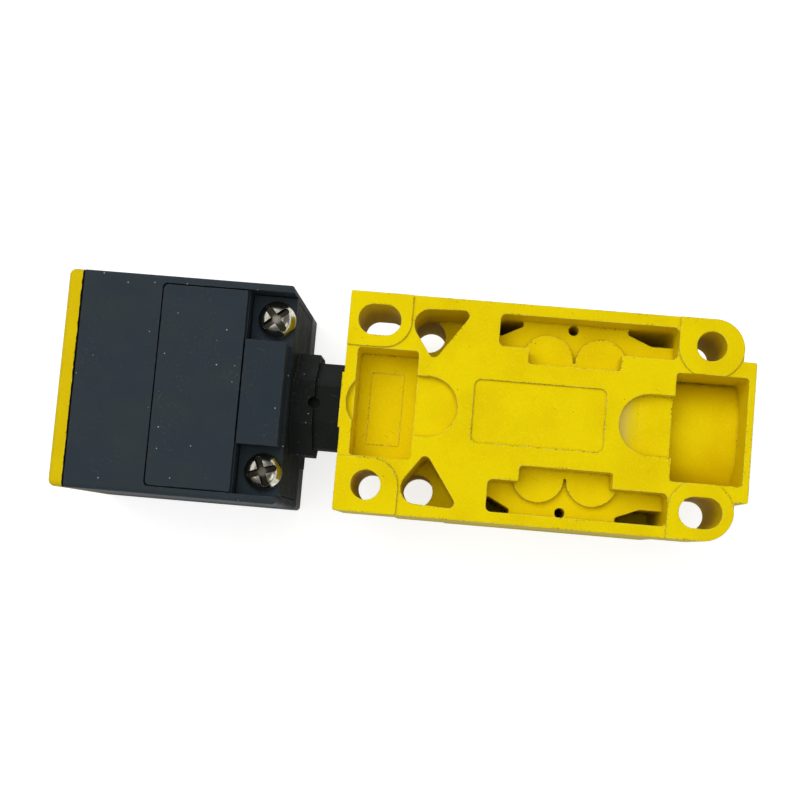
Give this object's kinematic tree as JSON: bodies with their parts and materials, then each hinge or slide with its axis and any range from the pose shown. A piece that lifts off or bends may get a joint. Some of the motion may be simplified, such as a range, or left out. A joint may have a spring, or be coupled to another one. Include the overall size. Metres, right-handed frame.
{
  "type": "inductive proximity sensor",
  "caption": "Box-type inductive proximity sensor with a square sensing head on a turnable, push-in neck and a moulded terminal base with fixing holes and a cable entry.",
  "frame": {"origin": "under the middle of the fixing holes, on the outer face of the terminal cover that the part lies on", "axes": "+X from the sensing face toward the cable entry, +Z out of the mounting face, +Y across the part to make a right-handed frame"},
  "size_m": [0.1258, 0.04, 0.04],
  "materials": {
    "yellow_plastic": "satin moulded",
    "black_plastic": "fine grain",
    "bearing_plastic": "smooth",
    "smoked_window": "translucent",
    "nickel_steel": "bright nickel",
    "spring_steel": "phosphated",
    "brass": "turned",
    "rubber": "matt",
    "ferrite": "sintered",
    "copper": "enamelled wire",
    "circuit_board": "solder mask",
    "component_black": "moulded",
    "lamp": "clear",
    "wire_insulation": "satin",
    "terminal_plastic": "moulded",
    "label_plate": "anodised, bare"
  },
  "bodies": {
    "base": {"base_housing": "yellow_plastic", "cover_inserts": "brass", "terminal_block": "terminal_plastic", "terminal_clamps": "brass", "terminal_screws": "nickel_steel", "terminal_block_screws": "nickel_steel", "terminal_leads": "wire_insulation"},
    "cover": {"terminal_cover": "yellow_plastic", "cover_gasket": "rubber", "cover_label_plate": "label_plate", "cover_washers": "nickel_steel", "cover_screws": "nickel_steel"},
    "neck_slide": {"slide_bush": "bearing_plastic", "bush_seal": "rubber"},
    "head": {"neck_bracket": "black_plastic", "swivel_seal": "rubber", "neck_retaining_ring": "spring_steel", "head_shell": "black_plastic", "side_plate": "black_plastic", "head_screws": "nickel_steel", "led_windows": "smoked_window", "sensing_face_cap": "yellow_plastic", "cap_gasket": "rubber", "ferrite_core": "ferrite", "coil_former": "bearing_plastic", "coil_winding": "copper", "coil_carrier": "component_black", "circuit_board": "circuit_board", "board_components": "component_black", "status_leds": "lamp", "wire_grommet": "rubber", "lead_wires": "wire_insulation"}
  },
  "joints": [
    {"name": "head_slide", "type": "slide", "parent": "base", "child": "neck_slide", "axis": [1, 0, 0], "range_m": [0, 0.0058], "deforming": ["terminal_leads"]},
    {"name": "head_swivel", "type": "hinge", "parent": "neck_slide", "child": "head", "pos_m": [-0.0302, 0, 0.02], "axis": [1, 0, 0], "range_deg": [-180, 180]},
    {"name": "cover_lift", "type": "slide", "parent": "base", "child": "cover", "axis": [0, 0, -1], "range_m": [0, 0.02]}
  ]
}
